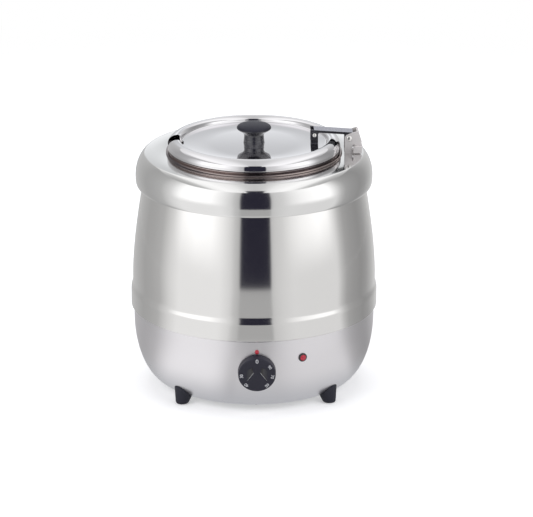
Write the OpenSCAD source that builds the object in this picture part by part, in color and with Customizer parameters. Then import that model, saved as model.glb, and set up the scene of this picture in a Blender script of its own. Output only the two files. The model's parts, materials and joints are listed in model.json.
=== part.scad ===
// Electric soup kettle, 10 litre, wet heat: a barrel of polished sheet steel round a water
// well, a lift-out pot, and a hinged lid. Millimetres, +Z up, standing on z = 0, dial to -Y.

/* [Body] */
// Diameter over the belt, the widest ring of the body
belt_d = 350; // [340:1:420]
// Height of the bowl's underside above the table
bowl_clear = 6; // [5:0.5:14]
// Height of the lower bowl, from its underside to the seam under the belt
bowl_h = 109; // [100:1:130]
// Height from the seam under the belt to the flat top of the collar
barrel_h = 223; // [190:1:268]
// Height of the belt above the seam
belt_h = 25; // [18:1:30]
// How far the belt stands out from the bowl below it
belt_step = 4; // [3:0.5:6]
// How far the belt stands out from the barrel above it
cove_step = 2.5; // [1.5:0.5:4]
// How far the barrel's mouth lies inside the belt
barrel_taper = 21.8; // [18:0.2:26]
// Width of the bowl's rounded bottom corner
corner_w = 44; // [40:0.5:52]
// Height of the bowl's rounded bottom corner
corner_h = 92; // [84:1:94]
// Thickness of the body's sheet
sheet_t = 1; // [0.8:0.1:1.2]

/* [Collar] */
// How far the collar's outside lies inside the belt
collar_inset = 7.5; // [5:0.5:10]
// Width of the collar's rounded shoulder
shoulder_w = 14.5; // [12:0.5:18]
// Height of the collar's rounded shoulder above its widest line
shoulder_h = 34; // [30:1:36]
// Height of the collar from its lower lip to its flat top
collar_h = 45.4; // [43:0.2:48]

/* [Pot and well] */
// Inside diameter of the pot
pot_d = 224; // [186:1:226]
// Depth inside the pot
pot_depth = 250; // [205:1:254]
// Sheet of the pot
pot_t = 1; // [0.8:0.1:1.2]
// How far the pot's neck widens beyond its body
neck_flare = 6.5; // [5:0.5:8]
// Height of the pot's rim above the collar
neck_h = 6; // [6:0.5:10]
// Radius of the pot's bottom corner
pot_corner = 25; // [15:1:35]
// Sheet of the well
well_t = 1.2; // [1:0.1:1.5]

/* [Lid] */
// Height of the lid's raised ring
lid_h = 15.2; // [13:0.2:18]
// Depth of the sunk panel below the top of the ring
panel_drop = 8; // [6:0.5:10]
// Width of the raised ring, from the outer edge to the sunk panel
ring_w = 21; // [19:0.5:24]
// Sheet of the lid
lid_t = 1; // [0.8:0.1:1.2]
// Width of the ladle notch
notch_w = 24; // [18:1:30]
// Depth of the ladle notch in from the lid's edge
notch_l = 22; // [20:1:30]
// Height of the knob above the sunk panel
knob_h = 28.5; // [26:0.5:34]
// Diameter of the knob's cap
knob_d = 48.5; // [40:0.5:56]
// Diameter of the knob's stem
stem_d = 29; // [24:1:32]

/* [Hinge] */
// Length of the arm between its two pins, along X
arm_l = 49; // [41:1:56]
// Outside width of the hinge bracket
bracket_w = 24; // [20:0.5:30]
// Thickness of the hinge's sheet
hinge_t = 1.5; // [1.2:0.1:2]
// Diameter of the hinge pin
pin_d = 5; // [4:0.1:6]
// Reach of the hinge pin outside the lid's edge
pin_reach = 11.8; // [11:0.2:14]
// Diameter of the pin that joins the arm to the lid
rivet_d = 4; // [3:0.1:5]
// Angle that the lid opens
lid_open = 0; // [0:1:98]

/* [Controls] */
// Diameter of the dial
dial_d = 53; // [44:1:60]
// Thickness of the dial
dial_t = 10.6; // [9:0.2:14]
// Height of the dial's centre above the table
dial_z = 69; // [64:0.5:78]
// Diameter of the thermostat's shaft
shaft_d = 6; // [5:0.1:7]
// Gap between the dial's rim and the centre of the red index bead, upwards
index_gap = 3.8; // [3.6:0.2:8]
// Height of the pilot lamp above the table
lamp_z = 86.4; // [74:0.2:98]
// Angle of the pilot lamp round the bowl from the dial
lamp_turn = 22; // [18:1:40]
// Diameter of the pilot lamp's bezel
lamp_d = 12.4; // [10:0.2:16]
// Height of the cord gland at the back
gland_z = 60; // [50:1:80]
// Cord size that the gland takes
cord_bore_d = 7.4; // [6:0.1:9]
// Length of the gland outside the bowl
gland_l = 13.6; // [10:0.2:18]

/* [Feet] */
// How far each foot's centre lies inside the belt
foot_inset = 28; // [24:0.5:36]
// Diameter of a foot where it stands
foot_d = 21; // [16:1:26]
// Diameter of a foot where it meets the bowl
foot_top_d = 28.5; // [24:0.5:30]

/* [Hidden] */

STEEL = "silver";
DARK = "dimgray";
BLACK = "#222222";

seat = 0.3;       // gap where one piece rests on another that moves
slip = 0.3;       // gap round a turning pin or shaft
snug = 0.1;       // gap round a screw or a plug in its hole
through = 1;      // how far a cutting shape runs past the face that it opens
round_fn = 96;
small_fn = 48;

// Screw and hole sizes
side_screw_d = 4;
plate_screw_d = 3.6;
bracket_screw_d = 3;
saddle_rivet_d = 3;
knob_screw_d = 5;
foot_bolt_d = 5;
stud_d = 5;
index_pin_d = 3;
bush_d = 10;
gland_thread_d = 15;

// Heights, from the table up
seam_z = bowl_clear + bowl_h;
belt_z = seam_z + belt_h;
collar_z = seam_z + barrel_h;
lip_z = collar_z - collar_h;
mouth_z = collar_z - 22;
rim_z = collar_z + neck_h;
lid_z = rim_z + seat;
ring_z = lid_z + lid_h;
panel_z = ring_z - panel_drop;
pot_floor = rim_z - pot_depth;
well_floor = pot_floor - pot_t - 16;

// Radii
belt_r = belt_d / 2;
bowl_r = belt_r - belt_step;
barrel_r = belt_r - cove_step;
mouth_r = belt_r - barrel_taper;
collar_r = belt_r - collar_inset;
skirt_r = bowl_r - sheet_t - seat;
bowl_top = seam_z - 1.4;   // the bowl's edge stops short of the belt, as a seam
corner_z = bowl_clear + corner_h;
corner_r = bowl_r - corner_w;
pot_r = pot_d / 2 + pot_t;
neck_r = pot_r + neck_flare;
bead_r = neck_r + 4.7;
opening_r = neck_r + 2;
well_r = opening_r + sheet_t + 0.3;
lid_r = neck_r + 2.5;
panel_r = lid_r - ring_w;
plate_r = corner_r - 1.5;
foot_at = (belt_r - foot_inset) / sqrt(2);   // of each foot, along X and along Y
index_z = dial_z + dial_d / 2 + index_gap;

// Hinge line, and the pin that joins the arm to the lid
pin_x = lid_r + pin_reach;
pin_z = ring_z;
rivet_x = pin_x - arm_l;
rivet_z = panel_z + 13.1;
cheek_y = bracket_w / 2 - hinge_t;
arm_y = cheek_y - slip;

// ---- Outlines -------------------------------------------------------------------------

function arc(cx, cy, rx, ry, from, to, n = 10) =
    [for (i = [0:n]) let (a = from + (to - from) * i / n) [cx + rx * cos(a), cy + ry * sin(a)]];

function curve(a, b, c, d, n = 12) =
    [for (i = [0:n]) let (t = i / n, u = 1 - t)
        u * u * u * a + 3 * u * u * t * b + 3 * u * t * t * c + t * t * t * d];

// The line that runs beside an outline at distance d, to its left for d > 0
function beside(line, d) =
    [for (i = [0:len(line) - 1])
        let (a = line[max(i - 1, 0)], b = line[min(i + 1, len(line) - 1)],
             before = line[i] - a, after = b - line[i],
             u = norm(before) > 0 ? before / norm(before) : after / norm(after),
             v = norm(after) > 0 ? after / norm(after) : u,
             n = [-(u[1] + v[1]), u[0] + v[0]])
        line[i] + n / norm(n) * d / max(norm(u + v) / 2, 0.6)];

function back(list) = [for (i = [len(list) - 1:-1:0]) list[i]];

function radius_at(line, z) = lookup(z, [for (p = line) [p[1], p[0]]]);

// Sheet metal turned about Z: the outline is one face and the other lies t to its left
module turned_sheet(line, t) {
    rotate_extrude($fn = round_fn) polygon(concat(line, back(beside(line, t))));
}

// A flat plate in the XZ plane from y to y + t
module upright_plate(outline, y, t) {
    translate([0, y + t, 0]) rotate([90, 0, 0]) linear_extrude(t) polygon(outline);
}

// Both sides of y = 0
module both_sides() {
    children();
    mirror([0, 1, 0]) children();
}

// ---- Places on the bowl ---------------------------------------------------------------

// Angle round the bowl's corner ellipse at height z
function corner_angle(z) = z < corner_z ? asin((corner_z - z) / corner_h) : 0;
function bowl_radius(z) = corner_r + corner_w * cos(corner_angle(z));
function bowl_tilt(z) = atan(tan(corner_angle(z)) * corner_w / corner_h);

// Puts a child on the bowl: its X to the right, Y up along the bowl and Z straight out
module on_bowl(turn, z) {
    rotate([0, 0, turn]) translate([bowl_radius(z), 0, z])
        rotate([0, 90 + bowl_tilt(z), 0]) rotate([0, 0, 90]) children();
}

FRONT = -90;
BACK = 90;
side_screw_z = seam_z - 7;
side_screw_turns = [for (i = [0:3]) 15 + 55 * i];
foot_places = [[-1, -1], [1, -1], [-1, 1], [1, 1]];

module at_dial() on_bowl(FRONT, dial_z) children();
module at_index() on_bowl(FRONT, index_z) children();
module at_lamp() on_bowl(FRONT + lamp_turn, lamp_z) children();
module at_gland() on_bowl(BACK, gland_z) children();

// A hole through the bowl's wall, drilled square to it
module wall_hole(d) {
    translate([0, 0, -8]) cylinder(d = d + 2 * snug, h = 14, $fn = small_fn);
}

// Pan head screw, its head on z = 0 and its shank below
module pan_screw(head_d, head_h, shank_d, shank_l) {
    rotate_extrude($fn = small_fn)
        polygon(concat([[0, -shank_l], [shank_d / 2, -shank_l], [shank_d / 2, 0],
                        [head_d / 2, 0]],
                       arc(0, 0, head_d / 2, head_h, 20, 80, 5), [[0, head_h]]));
}

// ---- Body shells ----------------------------------------------------------------------

barrel_side = curve([barrel_r, belt_z + 18], [barrel_r, belt_z + 60],
                    [mouth_r + 10.3, mouth_z - 54], [mouth_r, mouth_z], 22);

function barrel_outline() = concat(
    [[skirt_r, seam_z - 14]],
    arc(skirt_r + 1.2, seam_z - 1.2, 1.2, 1.2, 180, 90, 4),
    arc(belt_r - 1.8, seam_z + 1.8, 1.8, 1.8, -90, 0, 5),
    curve([belt_r, belt_z - 3], [belt_r, belt_z + 5],
          [barrel_r, belt_z + 4], [barrel_r, belt_z + 13], 12),
    barrel_side,
    arc(mouth_r - 2, mouth_z + 1.4, 1.8, 1.8, 10, 90, 4),
    [[mouth_r - 10, mouth_z + 3.2]]);

module barrel_shell() color(STEEL) difference() {
    turned_sheet(barrel_outline(), sheet_t);
    for (turn = side_screw_turns) on_bowl(turn, side_screw_z) wall_hole(side_screw_d);
}

// From the seam down to the edge of the bottom opening
function bowl_outline() = concat(
    [[bowl_r, bowl_top]],
    arc(corner_r, corner_z, corner_w, corner_h, 0, -90, 26),
    [[corner_r - 8, bowl_clear]]);

// The bowl with everything inside its outer face filled, cut off above at height top
module bowl_filled(top) {
    rotate_extrude($fn = round_fn)
        polygon(concat([[0, top]], [for (p = bowl_outline()) if (p[1] < top) p],
                       [[0, bowl_clear]]));
}

module foot_bolt_holes() {
    for (p = foot_places) translate([p[0] * foot_at, p[1] * foot_at, bowl_clear - 4])
        cylinder(d = foot_bolt_d + 2 * snug, h = corner_z - 2 * bowl_clear, $fn = small_fn);
}

module base_bowl() color("lightsteelblue") difference() {
    turned_sheet(back(bowl_outline()), sheet_t);
    for (turn = side_screw_turns) on_bowl(turn, side_screw_z) wall_hole(side_screw_d);
    at_dial() wall_hole(bush_d);
    at_index() wall_hole(index_pin_d);
    at_lamp() wall_hole(lamp_barrel_d);
    at_gland() wall_hole(gland_thread_d);
    foot_bolt_holes();
    plate_screw_holes();
}

function collar_outline() = concat(
    [[opening_r, collar_z - 7]],
    arc(opening_r + 2, collar_z - 2, 2, 2, 180, 90, 5),
    arc(collar_r - shoulder_w, collar_z - shoulder_h, shoulder_w, shoulder_h, 90, -12, 24),
    arc(collar_r - 3.6, lip_z + 2.4, 2.4, 2.4, -20, -90, 4),
    [[radius_at(barrel_side, lip_z) + seat, lip_z]]);

module collar() color(STEEL) difference() {
    turned_sheet(back(collar_outline()), sheet_t);
    bracket_screws_at() wall_hole(bracket_screw_d);
}

// ---- Underside ------------------------------------------------------------------------

plate_t = 1.2;
vent_w = 4;

module plate_screws_at() {
    for (i = [0:3]) rotate([0, 0, 90 * i])
        translate([corner_r - 4.5, 0, bowl_clear]) children();
}

module plate_screw_holes() {
    plate_screws_at() translate([0, 0, -3])
        cylinder(d = plate_screw_d + 2 * snug, h = 6, $fn = small_fn);
}

module base_plate() color(STEEL) difference() {
    translate([0, 0, bowl_clear - plate_t])
        cylinder(r = plate_r, h = plate_t, $fn = round_fn);
    for (i = [0:23]) rotate([0, 0, 15 * i + 7.5])
        translate([plate_r * 0.52, -vent_w / 2, bowl_clear - 3])
            cube([plate_r * 0.24, vent_w, 6]);
    plate_screw_holes();
}

module base_plate_screws() color(DARK) plate_screws_at()
    translate([0, 0, -plate_t]) mirror([0, 0, 1]) pan_screw(7, 2.2, plate_screw_d, 8);

module side_screws() color(STEEL) for (turn = side_screw_turns)
    on_bowl(turn, side_screw_z) translate([0, 0, 0.05]) pan_screw(7.4, 2.4, side_screw_d, 8);

foot_recess_d = 11;
foot_recess_h = 7;

module foot(i) color(BLACK) difference() {
    translate([foot_places[i][0] * foot_at, foot_places[i][1] * foot_at, 0]) difference() {
        rotate_extrude($fn = small_fn)
            polygon([[0, 0], [foot_d / 2 - 1.2, 0], [foot_d / 2, 1.2],
                     [foot_top_d / 2, 30], [foot_top_d / 2, corner_z / 2],
                     [0, corner_z / 2]]);
        translate([0, 0, -through])
            cylinder(d = foot_recess_d, h = foot_recess_h + through, $fn = small_fn);
        cylinder(d = foot_bolt_d + 2 * snug, h = corner_z, $fn = small_fn);
    }
    bowl_filled(corner_z);
}

module foot_front_left() foot(0);
module foot_front_right() foot(1);
module foot_back_left() foot(2);
module foot_back_right() foot(3);

foot_bowl_z = corner_z - corner_h * sin(acos((sqrt(2) * foot_at - corner_r) / corner_w));

module foot_screws() color(STEEL) for (p = foot_places)
    translate([p[0] * foot_at, p[1] * foot_at, foot_recess_h])
        mirror([0, 0, 1]) pan_screw(9.4, 3.2, foot_bolt_d, foot_bowl_z + 5);

// ---- Water well and pot ---------------------------------------------------------------

well_corner = 20;

function well_outline() = concat(
    [[0, well_floor - well_t]],
    arc(well_r + well_t - well_corner, well_floor - well_t + well_corner,
        well_corner, well_corner, -90, 0, 10),
    arc(well_r + well_t + 1.5, collar_z - sheet_t - well_t - 1.5, 1.5, 1.5, 180, 90, 4),
    [[well_r + well_t + 6, collar_z - sheet_t - well_t]]);

heater_studs = [30, 150, 270];
stud_r = 40;

module water_well() color("gainsboro") {
    turned_sheet(well_outline(), well_t);
    for (a = heater_studs) rotate([0, 0, a])
        translate([stud_r, 0, well_floor - well_t - 16])
            cylinder(d = stud_d, h = 16.5, $fn = small_fn);
}

function pot_outline() = concat(
    [[0, pot_floor - pot_t]],
    arc(pot_r - pot_corner, pot_floor - pot_t + pot_corner, pot_corner, pot_corner, -90, 0, 10),
    curve([pot_r, collar_z - 16], [pot_r, collar_z - 9],
          [neck_r, collar_z - 11], [neck_r, collar_z - 3], 8),
    [[neck_r, collar_z - 0.6], [neck_r + 1, collar_z + 0.02]],
    arc(bead_r - 1.1, collar_z + 1.12, 1.1, 1.1, -90, 90, 8),
    [[neck_r + 1, collar_z + 2.22], [neck_r, collar_z + 2.9]],
    [[neck_r, rim_z - 2.7], [neck_r + 0.35, rim_z - 1.7], [neck_r + 1.1, rim_z - 1.15],
     [neck_r + 2.2, rim_z - pot_t]]);

module inner_pot() color("lightgray") turned_sheet(pot_outline(), pot_t);

// ---- Heater and thermostat ------------------------------------------------------------

heater_r = 72;
tube_r = 4;
heater_z = well_floor - well_t - tube_r;
heater_ends = [102, 78];
clamp_t = 2;
nut_h = 4;

module heating_element() color(DARK) translate([0, 0, heater_z]) {
    rotate([0, 0, 100]) rotate_extrude(angle = 340, $fn = round_fn)
        translate([heater_r, 0]) circle(r = tube_r, $fn = small_fn);
    for (a = heater_ends) rotate([0, 0, a]) translate([heater_r, 0, -22])
        cylinder(r = 2.6, h = 21, $fn = small_fn);
}

module heater_plate() color("darkgray") translate([0, 0, heater_z - tube_r - clamp_t])
    difference() {
        cylinder(r = heater_r + 10, h = clamp_t, $fn = round_fn);
        translate([0, 0, -through])
            cylinder(r = 22, h = clamp_t + 2 * through, $fn = small_fn);
        for (a = heater_studs) rotate([0, 0, a]) translate([stud_r, 0, -through])
            cylinder(d = stud_d + 2 * slip, h = clamp_t + 2 * through, $fn = small_fn);
        for (a = heater_ends) rotate([0, 0, a]) translate([heater_r, 0, -through])
            cylinder(r = 5, h = clamp_t + 2 * through, $fn = small_fn);
    }

module heater_nuts() color(STEEL) for (a = heater_studs) rotate([0, 0, a])
    translate([stud_r, 0, heater_z - tube_r - clamp_t - nut_h]) difference() {
        cylinder(d = 9.2, h = nut_h, $fn = 6);
        translate([0, 0, -through])
            cylinder(d = stud_d + 2 * snug, h = nut_h + 2 * through, $fn = small_fn);
    }

cutout_h = 11;

module thermal_cutout() color(BLACK) translate([0, 0, well_floor - well_t - cutout_h]) {
    cylinder(r = 8.5, h = cutout_h, $fn = small_fn);
    for (s = [-1, 1]) translate([s * 4.5 - 0.4, -3, -7]) cube([0.8, 6, 7.5]);
}

// Along the dial's axis, from the bowl's face outwards
stat_front = -1.6;   // front of the thermostat's spacer
bush_end = 3;        // front of its threaded bush
stat_l = 26;
spacer_l = 4;
shaft_in = 15;       // how far the shaft reaches into the thermostat
dial_back = -1.3;
boss_z = bush_end + 0.4;
shaft_end = dial_back + dial_t - 3;
flat_z = bush_end + 2.2;
flat_depth = 1.4;

module thermostat_body() color("gainsboro") at_dial() difference() {
    union() {
        translate([-22, -16, stat_front - spacer_l - stat_l]) cube([44, 32, stat_l]);
        translate([0, 0, stat_front - spacer_l - 1])
            cylinder(d = 16, h = spacer_l + 1, $fn = small_fn);
        translate([0, 0, stat_front - 1])
            cylinder(d = bush_d, h = bush_end - stat_front + 1, $fn = small_fn);
    }
    translate([0, 0, stat_front - shaft_in - 1])
        cylinder(d = shaft_d + 2 * slip, h = 2 * shaft_in, $fn = small_fn);
}

module thermostat_nut() color(STEEL) at_dial() translate([0, 0, 0.2]) difference() {
    cylinder(d = 15, h = 2.6, $fn = 6);
    translate([0, 0, -through]) cylinder(d = bush_d + 2 * snug, h = 5, $fn = small_fn);
}

boss_d = 12;

module thermostat_shaft() color(DARK) at_dial() difference() {
    translate([0, 0, stat_front - shaft_in])
        cylinder(d = shaft_d, h = shaft_end - stat_front + shaft_in, $fn = small_fn);
    translate([-shaft_d, shaft_d / 2 - flat_depth, flat_z])
        cube([2 * shaft_d, shaft_d, 2 * dial_t]);
}

dial_wall = 2.2;
dial_face_t = 5.4;
bar_w = 12.6;
scoop_r = 17.5;
scoop_drop = 3.4;

// One finger scoop beside the pointer bar, deep at the bar and running out to the face
module dial_scoop() intersection() {
    translate([0, 0, dial_back + dial_t - scoop_drop]) linear_extrude(scoop_drop + 1)
        polygon([[bar_w / 2, 11.5], [bar_w / 2 - 1.6, 2.6], [scoop_r - 4, -9],
                 [scoop_r, -2], [scoop_r - 5, 9]]);
    translate([bar_w / 2 - 3, -scoop_r, dial_back + dial_t - scoop_drop])
        rotate([0, -16, 0]) cube([2 * scoop_r, 2 * scoop_r, 2 * scoop_drop + 6]);
}

module control_dial() color(BLACK) at_dial() difference() {
    union() {
        translate([0, 0, dial_back]) difference() {
            rotate_extrude($fn = round_fn)
                polygon([[0, 0], [dial_d / 2, 0], [dial_d / 2 - 0.4, dial_t - 1.2],
                         [dial_d / 2 - 1.5, dial_t], [0, dial_t]]);
            translate([0, 0, -through])
                cylinder(d = dial_d - 2 * dial_wall, h = dial_t - dial_face_t + through,
                         $fn = round_fn);
        }
        translate([0, 0, boss_z])
            cylinder(d = boss_d, h = dial_back + dial_t - 0.6 - boss_z, $fn = small_fn);
    }
    difference() {
        cylinder(d = shaft_d + 2 * snug, h = shaft_end + snug, $fn = small_fn);
        translate([-shaft_d, shaft_d / 2 - flat_depth + snug, flat_z])
            cube([2 * shaft_d, shaft_d, 2 * dial_t]);
    }
    dial_scoop();
    mirror([1, 0, 0]) dial_scoop();
}

bulb_turn = -125;
bulb_d = 6;
bulb_l = 60;
bulb_z = well_floor + 40;
bulb_r = well_r + well_t + bulb_d / 2 + 0.2;

function spot(turn, r, z) = [r * cos(turn), r * sin(turn), z];

// A round tube swept along a list of points
module swept_tube(path, r, sides = 8) {
    n = len(path);
    along = [for (i = [0:n - 1]) let (d = path[min(i + 1, n - 1)] - path[max(i - 1, 0)]) d / norm(d)];
    side = [for (d = along) let (s = cross(d, [0.13, 0.09, 1])) s / norm(s)];
    rings = [for (i = [0:n - 1], k = [0:sides - 1]) let (a = 360 * k / sides)
        path[i] + r * (cos(a) * side[i] + sin(a) * cross(along[i], side[i]))];
    walls = [for (i = [0:n - 2], k = [0:sides - 1]) let (m = (k + 1) % sides)
        [i * sides + k, i * sides + m, (i + 1) * sides + m, (i + 1) * sides + k]];
    polyhedron(rings, concat(walls, [back([for (k = [0:sides - 1]) k])],
                             [[for (k = [0:sides - 1]) (n - 1) * sides + k]]));
}

stat_depth = stat_l + spacer_l - stat_front + 0.7;
stat_back_y = stat_depth * cos(bowl_tilt(dial_z)) - bowl_radius(dial_z);
stat_back_z = dial_z + stat_depth * sin(bowl_tilt(dial_z));

module capillary_tube() color("peru")
    swept_tube(curve([-8, stat_back_y, stat_back_z], [-14, stat_back_y + 10, stat_back_z + 2],
                     spot(bulb_turn, bulb_r + 6, bulb_z - 40), spot(bulb_turn, bulb_r, bulb_z - 0.2),
                     22), 1);

module capillary_bulb() color("peru") rotate([0, 0, bulb_turn])
    translate([bulb_r, 0, bulb_z]) cylinder(d = bulb_d, h = bulb_l, $fn = small_fn);

module bulb_clip() color(STEEL) rotate([0, 0, bulb_turn]) for (h = [12, bulb_l - 20])
    translate([well_r + well_t, 0, bulb_z + h]) difference() {
        translate([-0.6, -bulb_d, 0]) cube([bulb_d + 2.4, 2 * bulb_d, 8]);
        translate([bulb_r - well_r - well_t, 0, -1])
            cylinder(d = bulb_d + 2 * snug, h = 10, $fn = small_fn);
        translate([-well_r - well_t, 0, -1]) cylinder(r = well_r + well_t, h = 10, $fn = 96);
    }

block_at = [0, 84, bowl_clear];
block_h = 14;

module terminal_screws_at() {
    for (i = [-1:1]) translate(block_at + [12 * i, 0, block_h]) children();
}

module terminal_block() color("white") difference() {
    translate(block_at + [-20, -9, 0]) cube([40, 18, block_h]);
    terminal_screws_at() translate([0, 0, -10]) cylinder(d = 3.4, h = 11, $fn = small_fn);
    for (i = [-1:1]) translate(block_at + [12 * i, -10, 5]) rotate([-90, 0, 0])
        cylinder(d = 3, h = 20, $fn = small_fn);
}

module terminal_screws() color("gold") terminal_screws_at() pan_screw(6, 2, 3.2, 5);

// ---- Lamp, index and gland ------------------------------------------------------------

lamp_barrel_d = lamp_d - 2.1;
lens_d = lamp_d - 3.5;

module lamp_body() color(BLACK) at_lamp() difference() {
    union() {
        translate([0, 0, 0.15]) rotate_extrude($fn = small_fn)
            polygon([[0, 0], [lamp_d / 2, 0], [lamp_d / 2, 0.9],
                     [lamp_d / 2 - 0.8, 1.9], [0, 1.9]]);
        translate([0, 0, -24]) cylinder(d = lamp_barrel_d, h = 25, $fn = small_fn);
    }
    translate([0, 0, -6]) cylinder(d = lens_d + 2 * snug, h = 10, $fn = small_fn);
}

module lamp_lens() color("red") at_lamp() translate([0, 0, -5.9])
    rotate_extrude($fn = small_fn)
        polygon(concat([[0, 0], [lens_d / 2, 0]], arc(0, 7.4, lens_d / 2, 2.2, 0, 90, 8)));

module lamp_clip() color(STEEL) at_lamp() translate([0, 0, -5.2]) difference() {
    cylinder(d = lamp_d + 4, h = 3.4, $fn = small_fn);
    translate([0, 0, -through]) cylinder(d = lamp_barrel_d + 2 * snug, h = 6, $fn = small_fn);
}

module index_bead() color("crimson") at_index() rotate_extrude($fn = small_fn)
    polygon(concat([[0, -4], [index_pin_d / 2, -4], [index_pin_d / 2, 0.1], [3.1, 0.1]],
                   arc(0, 0.6, 3.1, 2.6, 0, 90, 8)));

gland_d = 20;

module cord_gland() color(BLACK) at_gland() difference() {
    union() {
        translate([0, 0, -9]) cylinder(d = gland_thread_d, h = 12, $fn = small_fn);
        translate([0, 0, 0.7]) cylinder(d = gland_d, h = 4.2, $fn = 6);
        translate([0, 0, 4.6]) rotate_extrude($fn = small_fn)
            polygon(concat([[0, 0], [8.4, 0], [8.4, gland_l - 9]],
                           arc(5.4, gland_l - 8.6, 2.6, 4, 15, 90, 6), [[0, gland_l - 4.6]]));
    }
    translate([0, 0, -12]) cylinder(d = cord_bore_d, h = gland_l + 20, $fn = small_fn);
}

module gland_nut() color(BLACK) at_gland() translate([0, 0, -6.4]) difference() {
    cylinder(d = 22, h = 4, $fn = 6);
    translate([0, 0, -through])
        cylinder(d = gland_thread_d + 2 * snug, h = 6, $fn = small_fn);
}

// ---- Hinge ----------------------------------------------------------------------------

bracket_foot = pin_x - 6.3;
bracket_back = pin_x + 18.4;
shelf_z = pin_z - 11.2;
leg_back = pin_x + 3.8;

// Side view of one cheek, from the foot of its leg round by the pin's lobe to the back
cheek = concat(
    [[bracket_foot, collar_z], [bracket_foot, pin_z - 4]],
    arc(pin_x, pin_z, 6.3, 6.3, 190, 105, 8),
    arc(pin_x + 10.6, pin_z + 7.9, 2.4, 2.4, 105, 10, 6),
    [[bracket_back, shelf_z + 1]],
    arc(bracket_back - 0.8, shelf_z, 1.2, 1.2, 0, -90, 4),
    arc(leg_back + 3, shelf_z - 0.8, 2.4, 3.2, -10, 180, 9),
    [[leg_back, collar_z + 5], [leg_back + 1.2, collar_z]]);

module bracket_screws_at() {
    both_sides() translate([pin_x - 1.2, 5.6, collar_z]) children();
}

module hinge_bracket() color("rosybrown") {
    difference() {
        union() {
            both_sides() upright_plate(cheek, cheek_y, hinge_t);
            translate([bracket_foot, -bracket_w / 2, collar_z])
                cube([leg_back + 1.2 - bracket_foot, bracket_w, hinge_t]);
            bracket_back_web();
        }
        bracket_screws_at() wall_hole(bracket_screw_d);
        translate([pin_x, -bracket_w, pin_z]) rotate([-90, 0, 0])
            cylinder(d = pin_d + 2 * snug, h = 2 * bracket_w, $fn = small_fn);
    }
    both_sides() side_tab();
}

// Web that joins the cheeks behind, along their sloping back edge
module bracket_back_web() {
    upright_plate([[pin_x + 12.2, pin_z + 8.6], [bracket_back - 1, shelf_z - 0.9],
                   [bracket_back - 1 - hinge_t, shelf_z - 0.9],
                   [pin_x + 12.2 - hinge_t, pin_z + 8.6]],
                  -bracket_w / 2 + 0.5, bracket_w - 1);
}

// Folded tab that stiffens the lower edge of a cheek
module side_tab() {
    tab_in = leg_back + 1.8;
    translate([tab_in, -bracket_w / 2 - 5, shelf_z - 1.2])
        cube([bracket_back - tab_in - 0.8, 5.6, hinge_t]);
    translate([tab_in, -bracket_w / 2 - 5, shelf_z - 9])
        cube([bracket_back - tab_in - 0.8, hinge_t, 8.5]);
}

module bracket_screws() color(STEEL) bracket_screws_at()
    translate([0, 0, hinge_t]) pan_screw(6, 2.2, bracket_screw_d, 8);

// A pin along Y with a domed head at each end, its heads h beyond y = reach
module headed_pin(d, head_d, head_h, reach) {
    rotate([90, 0, 0]) rotate_extrude($fn = small_fn)
        polygon(concat([[0, -reach - head_h]],
                       back(arc(0, -reach, head_d / 2, -head_h, 15, 85, 6)),
                       [[head_d / 2, -reach], [d / 2, -reach], [d / 2, reach],
                        [head_d / 2, reach]],
                       arc(0, reach, head_d / 2, head_h, 15, 85, 6),
                       [[0, reach + head_h]]));
}

module hinge_pin() color(STEEL) translate([pin_x, 0, pin_z])
    headed_pin(pin_d, 8, 2, bracket_w / 2 + 0.05);

// ---- Lid ------------------------------------------------------------------------------

// Swings the lid's pieces open about the hinge pin
module opened() {
    translate([pin_x, 0, pin_z]) rotate([0, lid_open, 0]) translate([-pin_x, 0, -pin_z])
        children();
}

hem_w = 8;

// From the hem under the edge, out and over the raised ring, to the middle of the panel
function lid_outline() = concat(
    [[lid_r - hem_w, lid_z]],
    arc(lid_r - 1.6, lid_z + 1.6, 1.6, 1.6, -90, 0, 5),
    curve([lid_r, lid_z + 6.4], [lid_r, ring_z - 3.4], [lid_r - 5.5, ring_z],
          [lid_r - 11.5, ring_z], 12),
    curve([lid_r - 13.5, ring_z], [lid_r - 17, ring_z],
          [panel_r + 2.4, ring_z - 3], [panel_r + 1.4, panel_z + 2], 8),
    arc(panel_r - 1.2, panel_z + 2.6, 2.6, 2.6, -15, -90, 4),
    [[0, panel_z]]);

module notch_prism(grow, from, to) {
    translate([0, 0, from]) linear_extrude(to - from)
        polygon(concat([[-lid_r - 5, -notch_w / 2 - grow], [-lid_r - 5, notch_w / 2 + grow]],
                       arc(-lid_r + notch_l - 6, notch_w / 2 - 6, 6 + grow, 6 + grow, 90, 0, 5),
                       arc(-lid_r + notch_l - 6, -notch_w / 2 + 6, 6 + grow, 6 + grow, 0, -90, 5)));
}

// Wall that lines the ladle notch between the ring's top and its hem
module notch_wall() intersection() {
    difference() {
        notch_prism(lid_t, lid_z, ring_z + 1);
        notch_prism(0, lid_z - 1, ring_z + 2);
    }
    rotate_extrude($fn = round_fn)
        polygon(concat([for (p = lid_outline()) if (p[0] > panel_r - 3) p],
                       [[panel_r - 2, panel_z], [panel_r - 2, panel_z - lid_t],
                        [lid_r - hem_w, lid_z + lid_t]]));
}

module lid_panel() opened() color("whitesmoke") difference() {
    union() {
        difference() {
            turned_sheet(lid_outline(), lid_t);
            notch_prism(0, lid_z - 2, ring_z + 2);
        }
        notch_wall();
    }
    translate([0, 0, panel_z]) wall_hole(knob_screw_d);
    saddle_rivets_at() wall_hole(saddle_rivet_d);
}

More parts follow.
